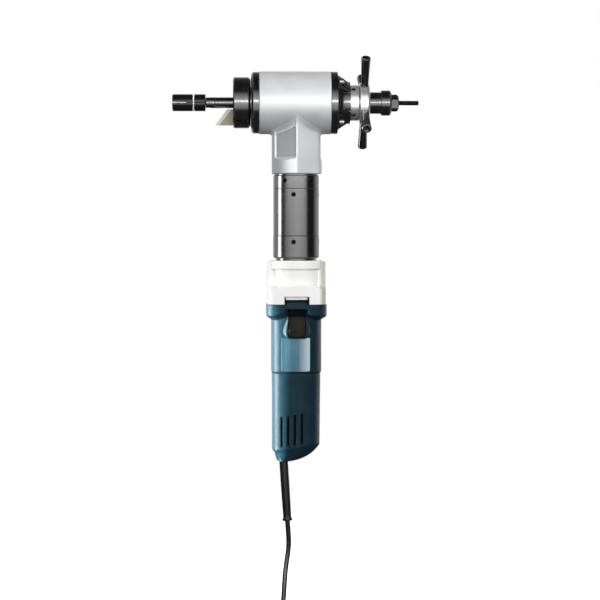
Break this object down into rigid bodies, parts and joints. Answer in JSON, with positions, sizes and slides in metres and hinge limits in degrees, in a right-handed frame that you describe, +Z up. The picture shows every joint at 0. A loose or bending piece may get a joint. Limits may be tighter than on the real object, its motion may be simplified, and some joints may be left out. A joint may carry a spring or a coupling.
{
  "type": "pipe beveling machine",
  "caption": "Portable pipe beveling machine: expanding mandrel that locks in the pipe bore, turning head with a bevel tool, spoked screw feed, and a geared electric motor with its mains lead.",
  "frame": {"origin": "middle of the mandrel's jaws, on the mandrel's axis", "axes": "-X points out of the mandrel into the pipe, +Z points up from the motor to the head, -Y faces the picture's viewer"},
  "size_m": [0.3188, 0.1237, 0.7791],
  "materials": {
    "black_steel": "blackened, satin",
    "black_aluminium": "black anodised, satin",
    "spring_steel": "bright",
    "cast_aluminium": "fine satin paint",
    "turned_aluminium": "turned, bright",
    "steel": "ground",
    "tool_steel": "ground",
    "bronze": "turned",
    "black_screws": "blackened",
    "bright_screws": "zinc plated",
    "white_case": "white paint",
    "blue_plastic": "fine texture",
    "copper": "lacquered",
    "brass": "plain",
    "carbon": "dull",
    "black_plastic": "fine texture",
    "black_rubber": "dull"
  },
  "bodies": {
    "mandrel": {"mandrel_shaft": "black_steel", "stop_collar": "black_steel", "jaw_spring": "spring_steel"},
    "draw_bar": {"draw_bar": "black_steel", "expander_wedge": "black_steel"},
    "draw_nut": {"draw_nut": "black_steel"},
    "jaw_1": {"jaw_1": "black_steel"},
    "jaw_2": {"jaw_2": "black_steel"},
    "jaw_3": {"jaw_3": "black_steel"},
    "machine": {"main_housing": "cast_aluminium", "front_ring": "black_aluminium", "spindle_bearings": "steel", "rear_cover": "black_aluminium", "rear_cover_screws": "bright_screws", "guide_bush": "bronze", "retaining_collar": "turned_aluminium", "thrust_washers": "steel", "coupling_flange": "black_aluminium", "ring_gear_barrel": "black_steel", "input_flange": "black_aluminium", "barrel_screws": "black_screws", "pinion_bearings": "steel", "gear_case": "white_case", "gear_case_screws": "bright_screws", "motor_housing": "blue_plastic", "rear_housing": "blue_plastic", "stator_core": "steel", "field_coils": "copper", "motor_bearings": "steel", "brush_holders": "brass", "carbon_brushes": "carbon", "brush_springs": "spring_steel", "switch_box": "black_plastic", "cable_boot": "black_rubber", "cord_lead": "black_rubber", "cord_coil": "black_rubber", "coil_tie": "black_plastic", "plug": "black_rubber"},
    "feed_handle": {"feed_hub": "turned_aluminium", "feed_nut": "bronze", "handle_spokes": "black_steel"},
    "cutter": {"cutter_head": "black_steel", "bevel_tool": "tool_steel", "tool_screws": "black_screws", "spindle": "steel", "bevel_gear": "steel"},
    "pinion": {"bevel_pinion": "steel", "carrier_2": "steel"},
    "carrier": {"carrier_1": "steel"},
    "rotor": {"rotor_shaft": "steel", "rotor_core": "steel", "commutator": "copper", "fan": "black_plastic"},
    "switch": {"switch_slider": "black_plastic"},
    "planet_1a": {"planet_1a": "steel"},
    "planet_1b": {"planet_1b": "steel"},
    "planet_1c": {"planet_1c": "steel"},
    "planet_2a": {"planet_2a": "steel"},
    "planet_2b": {"planet_2b": "steel"},
    "planet_2c": {"planet_2c": "steel"}
  },
  "joints": [
    {"name": "feed", "type": "slide", "parent": "mandrel", "child": "machine", "axis": [-1, 0, 0], "range_m": [-0.014, 0.022]},
    {"name": "handle_spin", "type": "hinge", "parent": "machine", "child": "feed_handle", "pos_m": [0.22, 0, 0], "axis": [-1, 0, 0], "range_deg": [-2521, 3961]},
    {"name": "draw", "type": "slide", "parent": "mandrel", "child": "draw_bar", "axis": [1, 0, 0], "range_m": [0, 0.01]},
    {"name": "draw_nut_spin", "type": "hinge", "parent": "mandrel", "child": "draw_nut", "pos_m": [0.2635, 0, 0], "axis": [-1, 0, 0], "range_deg": [-1, 3601]},
    {"name": "jaw_1_slide", "type": "slide", "parent": "mandrel", "child": "jaw_1", "axis": [0, -0.5, -0.866], "range_m": [0, 0.00121], "deforming": ["jaw_spring"]},
    {"name": "jaw_2_slide", "type": "slide", "parent": "mandrel", "child": "jaw_2", "axis": [0, 1, 0], "range_m": [0, 0.00121]},
    {"name": "jaw_3_slide", "type": "slide", "parent": "mandrel", "child": "jaw_3", "axis": [0, -0.5, 0.866], "range_m": [0, 0.00121]},
    {"name": "cutter_spin", "type": "hinge", "parent": "machine", "child": "cutter", "pos_m": [0.057, 0, 0], "axis": [1, 0, 0], "continuous": true},
    {"name": "pinion_spin", "type": "hinge", "parent": "machine", "child": "pinion", "pos_m": [0.1385, 0, -0.03], "axis": [0, 0, 1], "continuous": true},
    {"name": "carrier_spin", "type": "hinge", "parent": "machine", "child": "carrier", "pos_m": [0.1385, 0, -0.1461], "axis": [0, 0, 1], "continuous": true},
    {"name": "rotor_spin", "type": "hinge", "parent": "machine", "child": "rotor", "pos_m": [0.1385, 0, -0.2599], "axis": [0, 0, 1], "continuous": true},
    {"name": "planet_2a_spin", "type": "hinge", "parent": "pinion", "child": "planet_2a", "pos_m": [0.1535, 0, -0.1385], "axis": [0, 0, 1], "continuous": true},
    {"name": "planet_2b_spin", "type": "hinge", "parent": "pinion", "child": "planet_2b", "pos_m": [0.131, 0.01299, -0.1385], "axis": [0, 0, 1], "continuous": true},
    {"name": "planet_2c_spin", "type": "hinge", "parent": "pinion", "child": "planet_2c", "pos_m": [0.131, -0.01299, -0.1385], "axis": [0, 0, 1], "continuous": true},
    {"name": "planet_1a_spin", "type": "hinge", "parent": "carrier", "child": "planet_1a", "pos_m": [0.1535, 0, -0.1577], "axis": [0, 0, 1], "continuous": true},
    {"name": "planet_1b_spin", "type": "hinge", "parent": "carrier", "child": "planet_1b", "pos_m": [0.131, 0.01299, -0.1577], "axis": [0, 0, 1], "continuous": true},
    {"name": "planet_1c_spin", "type": "hinge", "parent": "carrier", "child": "planet_1c", "pos_m": [0.131, -0.01299, -0.1577], "axis": [0, 0, 1], "continuous": true},
    {"name": "switch_slide", "type": "slide", "parent": "machine", "child": "switch", "axis": [0, 0, 1], "range_m": [0, 0.008]}
  ],
  "couplings": [
    {"joint": "handle_spin", "follows": "feed", "rad_per_m": 3141.6},
    {"joint": "draw_nut_spin", "follows": "draw", "rad_per_m": 6283.2},
    {"joint": "jaw_1_slide", "follows": "draw", "ratio": 0.12},
    {"joint": "jaw_2_slide", "follows": "draw", "ratio": 0.12},
    {"joint": "jaw_3_slide", "follows": "draw", "ratio": 0.12},
    {"joint": "pinion_spin", "follows": "cutter_spin", "ratio": 2.5},
    {"joint": "carrier_spin", "follows": "cutter_spin", "ratio": 12.5},
    {"joint": "rotor_spin", "follows": "cutter_spin", "ratio": 62.5},
    {"joint": "planet_2a_spin", "follows": "cutter_spin", "ratio": -6.6667},
    {"joint": "planet_2b_spin", "follows": "cutter_spin", "ratio": -6.6667},
    {"joint": "planet_2c_spin", "follows": "cutter_spin", "ratio": -6.6667},
    {"joint": "planet_1a_spin", "follows": "cutter_spin", "ratio": -33.333},
    {"joint": "planet_1b_spin", "follows": "cutter_spin", "ratio": -33.333},
    {"joint": "planet_1c_spin", "follows": "cutter_spin", "ratio": -33.333}
  ]
}
